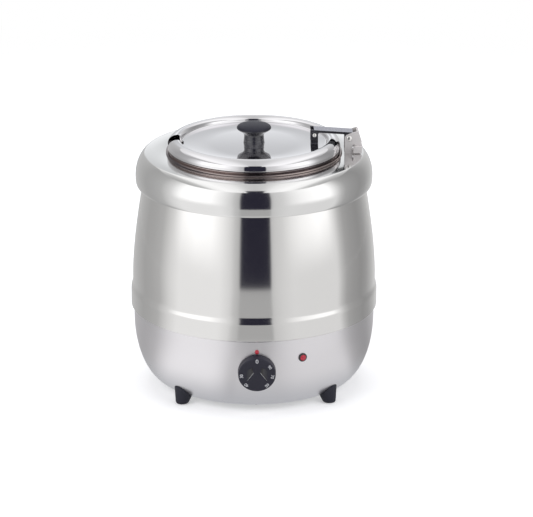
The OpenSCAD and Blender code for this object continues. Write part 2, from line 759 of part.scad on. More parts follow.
function knob_outline() = concat(
    [[0, 0], [stem_d / 2 + 0.6, 0], [stem_d / 2 + 0.2, 1.6], [stem_d / 2 - 0.2, 5.2]],
    arc(stem_d / 2 - 0.1, 6, 0.5, 0.5, 240, 120, 4),
    [[stem_d / 2 - 0.3, 7]],
    curve([stem_d / 2 - 0.6, 10], [stem_d / 2 - 0.4, knob_h - 12.5],
          [knob_d / 2 - 4, knob_h - 11.6], [knob_d / 2 - 0.8, knob_h - 8.6], 8),
    arc(knob_d / 2 - 1.6, knob_h - 6.8, 1.6, 2, -35, 30, 4),
    curve([knob_d / 2 - 1.2, knob_h - 4.4], [knob_d / 2 - 5, knob_h - 0.9],
          [8, knob_h], [0, knob_h], 9));

knob_screw_l = 16;
washer_t = 1.2;

module lid_knob() opened() color(BLACK) translate([0, 0, panel_z]) difference() {
    rotate_extrude($fn = round_fn) polygon(knob_outline());
    translate([0, 0, -through])
        cylinder(d = knob_screw_d + 2 * snug, h = knob_screw_l + through, $fn = small_fn);
}

// The knob's screw and the washer under its head, below the panel
module knob_screw() opened() color(STEEL) translate([0, 0, panel_z - lid_t]) {
    mirror([0, 0, 1]) translate([0, 0, washer_t]) pan_screw(9, 2.6, knob_screw_d, knob_screw_l);
    difference() {
        translate([0, 0, -washer_t]) cylinder(d = 14, h = washer_t, $fn = small_fn);
        translate([0, 0, -2]) cylinder(d = knob_screw_d, h = 4, $fn = small_fn);
    }
}

ear_w = 10;
saddle_edge = 1.6;   // how far the saddle's foot shows outside its ears
ear = concat([[rivet_x - ear_w / 2, panel_z], [rivet_x + ear_w / 2, panel_z]],
             arc(rivet_x, rivet_z, ear_w / 2, ear_w / 2, 0, 180, 12));

module saddle_rivets_at() {
    both_sides() translate([rivet_x, 5, panel_z]) children();
}

module lid_saddle() opened() color(DARK) difference() {
    union() {
        both_sides() upright_plate(ear, cheek_y, hinge_t);
        translate([rivet_x - ear_w / 2, -bracket_w / 2 - saddle_edge, panel_z])
            cube([ear_w, bracket_w + 2 * saddle_edge, hinge_t]);
    }
    saddle_rivets_at() wall_hole(saddle_rivet_d);
    translate([rivet_x, -bracket_w, rivet_z]) rotate([-90, 0, 0])
        cylinder(d = rivet_d + 2 * snug, h = 2 * bracket_w, $fn = small_fn);
}

module saddle_rivets() opened() color(STEEL) saddle_rivets_at()
    translate([0, 0, hinge_t]) pan_screw(5.4, 1.6, saddle_rivet_d, hinge_t + lid_t + 1);

arm_t = 1.2;
arm_drop = 3.4;
arm_in = rivet_z + 7;     // height of the arm's top over the lid's pin
arm_out = pin_z + 8.6;    // height of the arm's top over the hinge pin
function arm_top(x) = arm_in + (arm_out - arm_in) * (x - rivet_x) / arm_l;

arm_side = concat(
    [[rivet_x - 5.4, arm_top(rivet_x - 5.4)], [rivet_x - 4.6, rivet_z]],
    arc(rivet_x, rivet_z, 4.6, 4.6, 180, 360, 10),
    [[rivet_x + 6.6, arm_top(rivet_x + 6.6) - arm_drop],
     [pin_x - 7.4, arm_top(pin_x - 7.4) - arm_drop]],
    arc(pin_x, pin_z, 5, 5, 180, 360, 10),
    [[pin_x + 5, arm_top(pin_x + 5)]]);

module lid_arm() opened() color(DARK) difference() {
    union() {
        both_sides() upright_plate(arm_side, arm_y - arm_t, arm_t);
        upright_plate([[rivet_x - 0.6, arm_top(rivet_x - 0.6)],
                       [rivet_x - 0.6, arm_top(rivet_x - 0.6) - arm_t],
                       [pin_x + 5, arm_top(pin_x + 5) - arm_t],
                       [pin_x + 5, arm_top(pin_x + 5)]], -arm_y, 2 * arm_y);
    }
    translate([rivet_x, -bracket_w, rivet_z]) rotate([-90, 0, 0])
        cylinder(d = rivet_d + 2 * snug, h = 2 * bracket_w, $fn = small_fn);
    translate([pin_x, -bracket_w, pin_z]) rotate([-90, 0, 0])
        cylinder(d = pin_d + 2 * slip, h = 2 * bracket_w, $fn = small_fn);
}

module arm_pin() opened() color(STEEL) translate([rivet_x, 0, rivet_z])
    headed_pin(rivet_d, 5.8, 1.5, bracket_w / 2 + 0.05);

barrel_shell();
base_bowl();
collar();
base_plate();
base_plate_screws();
side_screws();
foot_front_left();
foot_front_right();
foot_back_left();
foot_back_right();
foot_screws();
water_well();
inner_pot();
heating_element();
heater_plate();
heater_nuts();
thermal_cutout();
thermostat_body();
thermostat_nut();
thermostat_shaft();
control_dial();
capillary_tube();
capillary_bulb();
bulb_clip();
terminal_block();
terminal_screws();
lamp_body();
lamp_lens();
lamp_clip();
index_bead();
cord_gland();
gland_nut();
hinge_bracket();
bracket_screws();
hinge_pin();
lid_panel();
lid_knob();
knob_screw();
lid_saddle();
saddle_rivets();
lid_arm();
arm_pin();
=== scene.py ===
"""An electric soup kettle: polished barrel, satin bowl, hinged lid with knob, dial and lamp.

Sizes are millimetres until a mesh is built. +Z is up, the dial faces -Y, the hinge is on +X.
"""
import json
import math

import bpy
from mathutils import Matrix, Vector


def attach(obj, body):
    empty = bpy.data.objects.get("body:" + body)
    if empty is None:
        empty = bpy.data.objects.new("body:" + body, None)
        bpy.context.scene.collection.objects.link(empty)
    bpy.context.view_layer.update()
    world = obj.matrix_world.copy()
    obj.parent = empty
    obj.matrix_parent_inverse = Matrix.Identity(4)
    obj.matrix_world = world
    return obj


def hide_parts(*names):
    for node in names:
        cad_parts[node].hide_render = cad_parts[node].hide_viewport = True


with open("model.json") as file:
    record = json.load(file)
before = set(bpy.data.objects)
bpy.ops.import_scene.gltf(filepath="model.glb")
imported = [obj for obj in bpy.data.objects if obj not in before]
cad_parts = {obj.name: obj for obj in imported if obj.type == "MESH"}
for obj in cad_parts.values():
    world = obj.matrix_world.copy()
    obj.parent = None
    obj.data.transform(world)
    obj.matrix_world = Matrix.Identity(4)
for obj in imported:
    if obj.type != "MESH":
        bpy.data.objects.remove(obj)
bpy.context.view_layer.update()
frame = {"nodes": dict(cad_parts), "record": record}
nodes = frame["nodes"]
MM = 0.001

# ---- Sizes, in millimetres ---------------------------------------------------------------
# Z is a height, R a radius, D a diameter, T a thickness, W a width, and EDGE_R a rounding.
# The barrel stands in the bowl at the seam, with the belt just above it, and the collar's lip
# comes down over the barrel's side. The mouth is the barrel's top, under the collar.
SEAM_Z, BELT_Z, COLLAR_Z, LIP_Z, MOUTH_Z = 115.0, 140.0, 338.0, 292.6, 316.0
BELT_R, BOWL_R, BARREL_R, MOUTH_R, COLLAR_R = 175.0, 171.0, 172.5, 153.2, 167.5
BOWL_Z, CORNER_R, CORNER_W, CORNER_Z, CORNER_H = 6.0, 127.0, 44.0, 98.0, 92.0
SHEET_T, SEAT, SKIRT_H = 1.0, 0.3, 14.0
SEAM_EDGE_R, BELT_EDGE_R, LIP_EDGE_R, MOUTH_EDGE_R = 1.2, 1.8, 2.4, 1.8
SKIRT_R = BOWL_R - SHEET_T - SEAT
BOWL_TOP = SEAM_Z - 1.4
SHOULDER_W = 14.5
NECK_R, POT_R, POT_T, RIM_Z, POT_FLOOR, POT_CORNER_R = 119.5, 113.0, 1.0, 344.0, 94.0, 25.0
OPENING_R, OPENING_EDGE_R, BEAD_R, BEAD_T = 121.5, 2.0, 124.2, 2.2
LID_R, LID_Z, RING_Z, PANEL_Z, PANEL_R, LID_T = 122.0, 344.3, 359.5, 351.5, 101.0, 1.0
HEM_W, HEM_EDGE_R, PANEL_EDGE_R = 8.0, 1.6, 2.6
NOTCH_W, NOTCH_L, NOTCH_CORNER_R = 24.0, 22.0, 6.0
KNOB_H, KNOB_D, STEM_D = 28.5, 48.5, 29.0
DIAL_Z, DIAL_T, DIAL_BACK = 69.0, 10.6, -1.3
SCOOP_R, FACE_EDGE = 18.0, 0.35
# The lower wall of the right scoop, from the dial's centre outwards, on its face
SCOOP_WALL = ((4.7, 2.6), (13.5, -9.0))
NUMBER_AT, NUMBER_SIZE, ZERO_SIZE, INK_T = 21.4, 6.2, 8.4, 0.04
# A foot leans in towards the axis by FOOT_LEAN in its first FOOT_LEAN_Z of height
FOOT_AT, FOOT_R, FOOT_TOP_R, FOOT_LEAN, FOOT_LEAN_Z = 103.945, 9.4, 16.4, 8.0, 25.0
FOOT_TOP_Z, FOOT_SCREW_R, FOOT_SCREW_Z = 44.0, 5.5, 7.0
SHELL_STEPS, CLOSEST = 256, 0.02


# ---- Outlines ----------------------------------------------------------------------------
def arc(cx, cy, rx, ry, start, end, n=10):
    """Points along a part of an ellipse, from one angle to another in degrees."""
    turns = [math.radians(start + (end - start) * i / n) for i in range(n + 1)]
    return [(cx + rx * math.cos(a), cy + ry * math.sin(a)) for a in turns]


def curve(a, b, c, d, n=12):
    """Points along a Bezier curve."""
    points = []
    for i in range(n + 1):
        t = i / n
        u = 1 - t
        k = (u * u * u, 3 * u * u * t, 3 * u * t * t, t * t * t)
        points.append(tuple(sum(w * p[j] for w, p in zip(k, (a, b, c, d))) for j in (0, 1)))
    return points


def beside(line, d):
    """The line that runs beside an outline at distance d, to its left for d > 0."""
    points = [Vector(p) for p in line]
    last = len(points) - 1
    out = []
    for i, p in enumerate(points):
        before = p - points[max(i - 1, 0)]
        after = points[min(i + 1, last)] - p
        u = before.normalized() if before.length > 0 else after.normalized()
        v = after.normalized() if after.length > 0 else u
        n = Vector((-(u.y + v.y), u.x + v.x)).normalized()
        q = p + n * d / max((u + v).length / 2, 0.6)
        out.append((q.x, q.y))
    return out


def thinned(line):
    """The outline without points that fall on the one before."""
    out = [line[0]]
    for p in line[1:]:
        if math.hypot(p[0] - out[-1][0], p[1] - out[-1][1]) > CLOSEST:
            out.append(p)
    return out


def radius_at(line, z):
    """The radius that an outline has at a height."""
    pairs = sorted((p[1], p[0]) for p in line)
    for (z0, r0), (z1, r1) in zip(pairs, pairs[1:]):
        if z0 <= z <= z1 and z1 > z0:
            return r0 + (r1 - r0) * (z - z0) / (z1 - z0)
    return pairs[0][1]


# ---- Modelling ---------------------------------------------------------------------------
def deselect_all():
    if bpy.context.object and bpy.context.object.mode != "OBJECT":
        bpy.ops.object.mode_set(mode="OBJECT")
    bpy.ops.object.select_all(action="DESELECT")


def make_active(obj):
    deselect_all()
    obj.select_set(True)
    bpy.context.view_layer.objects.active = obj


def edit(obj, action):
    """Runs action in edit mode with everything selected."""
    make_active(obj)
    bpy.ops.object.mode_set(mode="EDIT")
    bpy.ops.mesh.select_all(action="SELECT")
    action()
    bpy.ops.object.mode_set(mode="OBJECT")


def smooth(obj, degrees=32):
    """Shades smoothly, up to edges sharper than the angle."""
    make_active(obj)
    bpy.ops.object.shade_smooth_by_angle(angle=math.radians(degrees))
    return obj


def settle(obj):
    """Applies the object's place, so that the mesh holds it."""
    make_active(obj)
    bpy.ops.object.transform_apply(location=True, rotation=True, scale=True)
    return obj


def outline_object(name, points, closed):
    """A chain of edges in the XZ plane, extruded point by point from one corner."""
    deselect_all()
    bpy.ops.mesh.primitive_plane_add(size=1, location=(0, 0, 0))
    obj = bpy.context.object
    obj.name = obj.data.name = name
    bpy.ops.object.mode_set(mode="EDIT")
    bpy.ops.mesh.select_all(action="SELECT")
    bpy.ops.mesh.merge(type="CENTER")
    x, z = points[0][0] * MM, points[0][1] * MM
    bpy.ops.transform.translate(value=(x, 0, z))
    for p in points[1:]:
        step = (p[0] * MM - x, 0, p[1] * MM - z)
        x, z = p[0] * MM, p[1] * MM
        bpy.ops.mesh.extrude_vertices_move(TRANSFORM_OT_translate={"value": step})
    if closed:
        bpy.ops.mesh.select_all(action="SELECT")
        bpy.ops.mesh.remove_doubles(threshold=1e-7)
        bpy.ops.mesh.select_all(action="DESELECT")
        bpy.ops.object.mode_set(mode="OBJECT")
        verts = obj.data.vertices
        verts[0].select = verts[len(verts) - 1].select = True
        bpy.ops.object.mode_set(mode="EDIT")
        bpy.ops.mesh.edge_face_add()
    bpy.ops.object.mode_set(mode="OBJECT")
    return obj


def turned(name, outline, steps=SHELL_STEPS, closed=True):
    """An outline in radius and height, spun about Z into a closed shape."""
    obj = outline_object(name, thinned(outline), closed)

    def spin():
        bpy.ops.mesh.spin(steps=steps, angle=2 * math.pi, center=(0, 0, 0), axis=(0, 0, 1))
        bpy.ops.mesh.select_all(action="SELECT")
        bpy.ops.mesh.remove_doubles(threshold=1e-6)
        bpy.ops.mesh.normals_make_consistent(inside=False)

    edit(obj, spin)
    return smooth(obj)


def turned_sheet(name, line, t):
    """Sheet metal spun about Z: the outline is one face, and the other lies t to its left."""
    line = thinned(line)
    return turned(name, line + beside(line, t)[::-1])


def boolean(obj, tool, operation="DIFFERENCE"):
    """Cuts obj with a tool, which is used up."""
    cut = obj.modifiers.new("cut", "BOOLEAN")
    cut.operation = operation
    cut.object = tool
    cut.solver = "EXACT"
    make_active(obj)
    bpy.ops.object.modifier_apply(modifier=cut.name)
    bpy.data.objects.remove(tool)
    return obj


# ---- Materials ---------------------------------------------------------------------------
class Value:
    """A shader socket that Python's operators work on."""

    def __init__(self, finish, socket):
        self.finish = finish
        self.socket = socket

    def _maths(self, operation, *values):
        return self.finish.node("ShaderNodeMath", {"operation": operation}, values)

    def __add__(self, other):
        return self._maths("ADD", self, other)

    def __radd__(self, other):
        return self._maths("ADD", other, self)

    def __sub__(self, other):
        return self._maths("SUBTRACT", self, other)

    def __rsub__(self, other):
        return self._maths("SUBTRACT", other, self)

    def __mul__(self, other):
        return self._maths("MULTIPLY", self, other)

    def __rmul__(self, other):
        return self._maths("MULTIPLY", other, self)

    def __truediv__(self, other):
        return self._maths("DIVIDE", self, other)

    def __pow__(self, other):
        return self._maths("POWER", self, other)

    def __abs__(self):
        return self._maths("ABSOLUTE", self)

    def __or__(self, other):
        """The stronger of two masks."""
        return self._maths("MAXIMUM", self, other)

    def turn_from(self, other):
        """The angle from the axis of other towards the axis of this one."""
        return self._maths("ARCTAN2", self, other)

    def clamped(self):
        return self._maths("MINIMUM", self._maths("MAXIMUM", self, 0.0), 1.0)

    def step(self, start, end):
        """0 before start and 1 after end, smooth between them."""
        settings = {"interpolation_type": "SMOOTHSTEP"}
        return self.finish.node("ShaderNodeMapRange", settings,
                                {"Value": self, "From Min": start, "From Max": end})


# The colour sockets of a Mix node, which shares its names with its other kinds
MIX_SHARE, MIX_FIRST, MIX_SECOND, MIX_RESULT = 0, 6, 7, 2


class Finish:
    """A material's node tree, and the pieces that its looks are made of."""

    def __init__(self, name, tree=None):
        if tree is None:
            self.material = bpy.data.materials.new(name)
            self.material.use_nodes = True
            tree = self.material.node_tree
        self.tree = tree
        tree.nodes.clear()

    def node(self, kind, settings=None, values=(), output=0):
        """Adds a node: its settings first, then what its sockets hold."""
        made = self.tree.nodes.new(kind)
        for key, value in (settings or {}).items():
            if key == "stops":
                ramp = made.color_ramp
                while len(ramp.elements) > 1:
                    ramp.elements.remove(ramp.elements[-1])
                for i, (place, colour) in enumerate(value):
                    stop = ramp.elements[0] if i == 0 else ramp.elements.new(place)
                    stop.position = place
                    stop.color = colour if len(colour) == 4 else (*colour, 1)
            else:
                setattr(made, key, value)
        pairs = values.items() if isinstance(values, dict) else enumerate(values)
        for key, value in pairs:
            if isinstance(value, Value):
                self.tree.links.new(value.socket, made.inputs[key])
            elif value is not None:
                made.inputs[key].default_value = value
        return Value(self, made.outputs[output]) if made.outputs else None

    def place(self, scale=(1, 1, 1)):
        """Where a point is on its own piece, in metres, stretched by scale."""
        spot = self.node("ShaderNodeTexCoord", output="Object")
        return self.node("ShaderNodeMapping", {}, {"Vector": spot, "Scale": scale})

    def axes(self):
        """A point's place as three values."""
        spot = self.place()
        return [self.axis(spot, name) for name in "XYZ"]

    def facing(self, name):
        """How far a face looks along an axis of its own piece."""
        return self.axis(self.node("ShaderNodeTexCoord", output="Normal"), name)

    def axis(self, vector, name):
        return self.node("ShaderNodeSeparateXYZ", {}, [vector], output=name)

    def noise(self, place, scale, detail=2.0, roughness=0.5):
        return self.node("ShaderNodeTexNoise", {}, {"Vector": place, "Scale": scale,
                                                    "Detail": detail, "Roughness": roughness})

    def mix(self, share, first, second):
        """The first colour where share is 0 and the second where it is 1."""
        first, second = ((*value, 1) if isinstance(value, tuple) else value
                         for value in (first, second))
        return self.node("ShaderNodeMix", {"data_type": "RGBA"},
                         {MIX_SHARE: share, MIX_FIRST: first, MIX_SECOND: second},
                         output=MIX_RESULT)

    def grain(self, scale, depth):
        """The fine grain of moulded plastic, as a normal."""
        return self.node("ShaderNodeBump", {}, {"Height": self.noise(self.place(), scale),
                                                "Distance": depth, "Strength": 1.0})

    def background_ray(self):
        """1 for the rays that see the white background: camera, gloss and glass."""
        camera, glossy, through = (self.node("ShaderNodeLightPath", output=name) for name in
                                   ("Is Camera Ray", "Is Glossy Ray", "Is Transmission Ray"))
        return (camera + glossy + through).clamped()

    def surface(self, **sockets):
        """Ends the material in a Principled shader; _ stands for a space in a socket's name."""
        values = {key.replace("_", " "): value for key, value in sockets.items()}
        for key, value in values.items():
            if isinstance(value, tuple) and len(value) == 3:
                values[key] = (*value, 1)
        shader = self.node("ShaderNodeBsdfPrincipled", {}, values)
        self.node("ShaderNodeOutputMaterial", {}, [shader])
        return self.material


# Noise that the finishes share. Marks that run round the axis have a scale across and a scale
# along them, clouds have a scale and a detail, and grain has a scale and a depth in metres.
WHEEL_MARKS, NECK_STREAKS = (900.0, 3.0), (260.0, 1.3)
GLOSS_CLOUDS = (60.0, 3.0)
FINE_GRAIN, RUBBER_GRAIN = (1500.0, 0.00001), (900.0, 0.00003)


def dimmed(colour, share):
    """The colour times share, which may be over 1."""
    return tuple(min(1, c * share) for c in colour)


def distance(across, along):
    return (across * across + along * along) ** 0.5


def lathe_lines(f, across, along):
    """Fine marks that run round the Z axis, as a polishing wheel leaves them."""
    x, y, z = f.axes()
    unrolled = [distance(x, y) * across, z * across, y.turn_from(x) * along]
    return f.noise(f.node("ShaderNodeCombineXYZ", {}, unrolled), 1.0, 3.0, 0.6)


def polished_steel(name, colour, roughness, marks=0.02):
    """Sheet steel with fine turning marks, and slow clouds in its polish."""
    f = Finish(name)
    lines = lathe_lines(f, *WHEEL_MARKS)
    clouds = f.noise(f.place(), 9.0, 3.0, 0.55)
    rough = clouds * (roughness * 0.5) + (lines * marks + (roughness * 0.75 - marks * 0.5))
    tone = f.mix(clouds, dimmed(colour, 0.965), colour)
    return f.surface(Base_Color=tone, Metallic=1.0, Roughness=rough)


def brushed_steel(name, colour, roughness, grain, scale, metallic=1.0):
    """Flat steel with a straight grain along one axis."""
    f = Finish(name)
    lines = f.noise(f.place(scale), 1.0, 4.0, 0.65)
    clouds = f.noise(f.place(), 14.0, 2.0)
    rough = lines * grain + clouds * (roughness * 0.3) + (roughness * 0.85 - grain * 0.5)
    tone = f.mix(lines, dimmed(colour, 0.93), colour)
    return f.surface(Base_Color=tone, Metallic=metallic, Roughness=rough)


def moulded(name, colour, roughness, grain=FINE_GRAIN, **more):
    """Moulded plastic or rubber with a fine grain and slightly uneven gloss."""
    f = Finish(name)
    clouds = f.noise(f.place(), *GLOSS_CLOUDS)
    tone = f.mix(clouds, dimmed(colour, 0.8), dimmed(colour, 1.2))
    rough = clouds * 0.12 + (roughness - 0.06)
    return f.surface(Base_Color=tone, Roughness=rough, Normal=f.grain(*grain), **more)


def arm_painted_light():
    """Painted light and shade: light grey on the faces that look up, near black as painted shade
    on the others.
    """
    f = Finish("arm painted light")
    lines = f.noise(f.place((60, 900, 300)), 1.0, 4.0, 0.65)
    # Painted light and shade: faces that look up are painted light grey, all other faces near
    # black.
    up = f.facing("Z").step(0.35, 0.75)
    painted_lit_grey = f.mix(lines, (0.30, 0.30, 0.345), (0.35, 0.35, 0.395))
    dark = f.mix(lines, (0.030, 0.030, 0.036), (0.042, 0.042, 0.050))
    return f.surface(Base_Color=f.mix(up, dark, painted_lit_grey), Metallic=0.6, Roughness=lines * 0.06 + 0.24)


def pot_polish():
    """Bright steel inside; the neck's outer face is darker and brownish, in streaks that run round
    the axis.
    """
    f = Finish("pot polish")
    lines = lathe_lines(f, *WHEEL_MARKS)
    # Darker, brownish streaks round the axis on the neck's outer face.
    streaks = lathe_lines(f, *NECK_STREAKS)
    x, y, _ = f.axes()
    outer = distance(x, y).step((NECK_R - 0.7) * MM, (NECK_R - 0.3) * MM)
    tone = f.mix(streaks.step(0.36, 0.62), (0.15, 0.13, 0.14), (0.42, 0.355, 0.34))
    tone = f.mix(outer, (0.80, 0.79, 0.78), tone)
    return f.surface(Base_Color=tone, Metallic=1.0, Roughness=lines * 0.03 + 0.12)


def knob_plastic():
    """Black plastic, satin on the cap and glossy below it."""
    f = Finish("knob plastic")
    clouds = f.noise(f.place(), *GLOSS_CLOUDS)
    knob_top = PANEL_Z + KNOB_H
    below = 1.0 - f.axes()[2].step((knob_top - 8.5) * MM, (knob_top - 6.0) * MM)
    tone = f.mix(clouds, (0.018, 0.018, 0.026), (0.026, 0.026, 0.036))
    return f.surface(Base_Color=tone, Roughness=clouds * 0.1 + 0.38, Coat_Weight=below,
                     Coat_Roughness=0.1, Coat_IOR=1.7, Specular_IOR_Level=0.2,
                     Normal=f.grain(*FINE_GRAIN))


def dial_plastic():
    """Black plastic with painted highlights in the scoops: a light line along each lower wall, and
    a floor painted lighter towards the dial's centre.
    """
    f = Finish("dial plastic")
    clouds = f.noise(f.place(), *GLOSS_CLOUDS)
    x, y, z = f.axes()
    # A point's place on the dial: to the side, up its face and out of it
    side = abs(x)
    up = (y - dial_centre.y) * dial_up.y + (z - dial_centre.z) * dial_up.z
    out = (y - dial_centre.y) * dial_out.y + (z - dial_centre.z) * dial_out.z
    sunk = 1.0 - out.step((FACE - FACE_EDGE) * MM, (FACE - 0.1) * MM)
    inner = 1.0 - distance(side, up).step(SCOOP_R * MM, (SCOOP_R + 0.6) * MM)
    # How far a point of the scoop is above its lower wall
    (x0, y0), (x1, y1) = SCOOP_WALL
    length = math.hypot(x1 - x0, y1 - y0)
    beyond = (side - x0 * MM) * ((y0 - y1) / length) + (up - y0 * MM) * ((x1 - x0) / length)
    # Painted highlight: a light grey line along each scoop's lower wall.
    wall = 1.0 - beyond.step(0.15 * MM, 0.45 * MM)
    # Painted reflection: the scoop's floor is lighter towards the dial's centre.
    deep = 1.0 - side.step(5.0 * MM, 15.0 * MM)
    tone = f.mix(clouds, (0.020, 0.019, 0.030), (0.027, 0.026, 0.040))
    painted_scoop_highlight = f.mix(deep, (0.03, 0.03, 0.038), (0.085, 0.082, 0.084))
    tone = f.mix(sunk * inner, tone, f.mix(wall, painted_scoop_highlight, (0.50, 0.50, 0.50)))
    return f.surface(Base_Color=tone, Roughness=clouds * 0.12 + 0.42, Specular_IOR_Level=0.3,
                     Normal=f.grain(*FINE_GRAIN))


# Where the dial stands on the bowl's corner, and its own right, out and up
corner_angle = math.asin((CORNER_Z - DIAL_Z) / CORNER_H)
tilt = math.atan(math.tan(corner_angle) * CORNER_W / CORNER_H)
dial_centre = Vector((0, -(CORNER_R + CORNER_W * math.cos(corner_angle)), DIAL_Z)) * MM
dial_right = Vector((1, 0, 0))
dial_out = Vector((0, -math.cos(tilt), -math.sin(tilt)))
dial_up = dial_out.cross(dial_right)
FACE = DIAL_BACK + DIAL_T

FINISHES = {
    "body_steel": polished_steel("barrel polish", (0.86, 0.85, 0.84), 0.10, 0.03),
    "bowl_steel": polished_steel("bowl satin", (0.875, 0.855, 0.88), 0.30, 0.02),
    "collar_steel": polished_steel("collar polish", (0.86, 0.855, 0.85), 0.10, 0.03),
    "lid_steel": polished_steel("lid polish", (0.86, 0.85, 0.87), 0.05, 0.02),
    "pot_steel": pot_polish(),
    "well_steel": polished_steel("well steel", (0.66, 0.65, 0.64), 0.3, 0.05),
    "hinge_steel": brushed_steel("hinge sheet", (0.72, 0.69, 0.68), 0.34, 0.08, (300, 60, 900),
                                 0.35),
    "arm_steel": arm_painted_light(),
    "pin_steel": brushed_steel("pin steel", (0.85, 0.84, 0.82), 0.15, 0.05, (400, 400, 400)),
    "screw_steel": brushed_steel("screw steel", (0.62, 0.61, 0.60), 0.28, 0.08,
                                 (400, 400, 400)),
    "plate_steel": brushed_steel("base sheet", (0.58, 0.58, 0.58), 0.4, 0.12, (40, 800, 200)),
    "knob_plastic": knob_plastic(),
    "dial_plastic": dial_plastic(),
    "dial_print": moulded("dial print", (0.60, 0.60, 0.62), 0.5),
    "foot_rubber": moulded("foot rubber", (0.022, 0.022, 0.032), 0.6, RUBBER_GRAIN,
                           Specular_IOR_Level=0.3),
    "fitting_plastic": moulded("fitting plastic", (0.03, 0.03, 0.032), 0.45),
    "red_plastic": moulded("red lens", (0.46, 0.028, 0.05), 0.16),
    "heater_steel": brushed_steel("heater tube", (0.30, 0.28, 0.26), 0.5, 0.1, (200, 200, 200)),
    "copper": brushed_steel("copper tube", (0.72, 0.42, 0.28), 0.35, 0.1, (300, 300, 300)),
    "block_plastic": moulded("terminal plastic", (0.74, 0.73, 0.68), 0.5),
}
node_slots = {part["node"]: part["material_slot"] for part in frame["record"]["subparts"]}
body_of_node = {n: body for body, members in frame["record"]["behaviour"]["bodies"].items()
                for n in members}
for node_name, node_object in nodes.items():
    node_object.data.materials.clear()
    node_object.data.materials.append(FINISHES[node_slots[node_name]])


def finished(obj, node_name=None, slot=None, body=None):
    """Gives a new piece its finish and its body, and lets it stand for its node."""
    slot = slot or node_slots[node_name]
    obj.data.materials.clear()
    obj.data.materials.append(FINISHES[slot])
    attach(obj, body or body_of_node[node_name])
    if node_name:
        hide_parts(node_name)
    return obj


# ---- Body shells -------------------------------------------------------------------------
# Each outline is the outer face, and the sheet's thickness goes inwards
barrel_side = curve((BARREL_R, BELT_Z + 18), (BARREL_R, BELT_Z + 60),
                    (MOUTH_R + 10.3, MOUTH_Z - 54), (MOUTH_R, MOUTH_Z), 60)
barrel_line = (
    [(SKIRT_R, SEAM_Z - SKIRT_H)]
    + arc(SKIRT_R + SEAM_EDGE_R, SEAM_Z - SEAM_EDGE_R, SEAM_EDGE_R, SEAM_EDGE_R, 180, 90, 6)
    + arc(BELT_R - BELT_EDGE_R, SEAM_Z + BELT_EDGE_R, BELT_EDGE_R, BELT_EDGE_R, -90, 0, 8)
    + curve((BELT_R, BELT_Z - 3), (BELT_R, BELT_Z + 5), (BARREL_R, BELT_Z + 4),
            (BARREL_R, BELT_Z + 13), 24)
    + barrel_side
    + arc(MOUTH_R - 2, MOUTH_Z + 1.4, MOUTH_EDGE_R, MOUTH_EDGE_R, 10, 90, 6)
    + [(MOUTH_R - 10, MOUTH_Z + 3.2)])
finished(turned_sheet("barrel", barrel_line, SHEET_T), "barrel_shell")

bowl_line = (
    [(BOWL_R, BOWL_TOP), (BOWL_R, 102)]
    + arc(CORNER_R, CORNER_Z, CORNER_W, CORNER_H, 0, -90, 60)
    + [(CORNER_R - 8, BOWL_Z)])
finished(turned_sheet("bowl", bowl_line[::-1], SHEET_T), "base_bowl")

collar_line = (
    [(OPENING_R, COLLAR_Z - 7)]
    + arc(OPENING_R + OPENING_EDGE_R, COLLAR_Z - OPENING_EDGE_R, OPENING_EDGE_R,
          OPENING_EDGE_R, 180, 90, 8)
    + arc(COLLAR_R - SHOULDER_W + 0.4, COLLAR_Z - 3.4, 3.2, 3.4, 90, 52, 10)
    + curve((COLLAR_R - 11.6, COLLAR_Z - 1.2), (COLLAR_R - 4.6, COLLAR_Z - 7.5),
            (COLLAR_R, COLLAR_Z - 19), (COLLAR_R, COLLAR_Z - 33), 40)[1:]
    + curve((COLLAR_R, COLLAR_Z - 33.6), (COLLAR_R, COLLAR_Z - 37),
            (COLLAR_R - 0.3, COLLAR_Z - 40), (COLLAR_R - 0.6, COLLAR_Z - 42), 8)
    + arc(COLLAR_R - 3.6, LIP_Z + LIP_EDGE_R, LIP_EDGE_R, LIP_EDGE_R, -20, -90, 8)
    + [(radius_at(barrel_side, LIP_Z) + SEAT, LIP_Z)])
finished(turned_sheet("collar_ring", collar_line[::-1], SHEET_T), "collar")

pot_line = (
    [(0, POT_FLOOR - POT_T)]
    + arc(POT_R - POT_CORNER_R, POT_FLOOR - POT_T + POT_CORNER_R, POT_CORNER_R, POT_CORNER_R,
          -90, 0, 16)
    + curve((POT_R, COLLAR_Z - 16), (POT_R, COLLAR_Z - 9), (NECK_R, COLLAR_Z - 11),
            (NECK_R, COLLAR_Z - 3), 12)
    + [(NECK_R, COLLAR_Z - 0.6), (NECK_R + 1, COLLAR_Z + 0.02)]
    + arc(BEAD_R - BEAD_T / 2, COLLAR_Z + 1.12, BEAD_T / 2, BEAD_T / 2, -90, 90, 12)
    + [(NECK_R + 1, COLLAR_Z + 2.22), (NECK_R, COLLAR_Z + 2.9), (NECK_R, RIM_Z - 2.7),
       (NECK_R + 0.35, RIM_Z - 1.7), (NECK_R + 1.1, RIM_Z - 1.15), (NECK_R + 2.2, RIM_Z - POT_T)])
finished(turned_sheet("pot", pot_line, POT_T), "inner_pot")

# ---- Feet --------------------------------------------------------------------------------
foot_line = [(0, FOOT_SCREW_Z), (FOOT_SCREW_R, FOOT_SCREW_Z), (FOOT_SCREW_R, 0.6),
             (FOOT_SCREW_R + 0.6, 0), (FOOT_R - 1.2, 0), (FOOT_R, 1.2),
             (FOOT_TOP_R, FOOT_LEAN_Z), (FOOT_TOP_R, FOOT_TOP_Z), (0, FOOT_TOP_Z)]
# The room inside the bowl's outer face, from which the feet are cleared
core_line = ([(0, BOWL_Z - SEAT)]
             + arc(CORNER_R, CORNER_Z, CORNER_W + SEAT, CORNER_H + SEAT, -90, 0, 32)
             + [(0, CORNER_Z)])


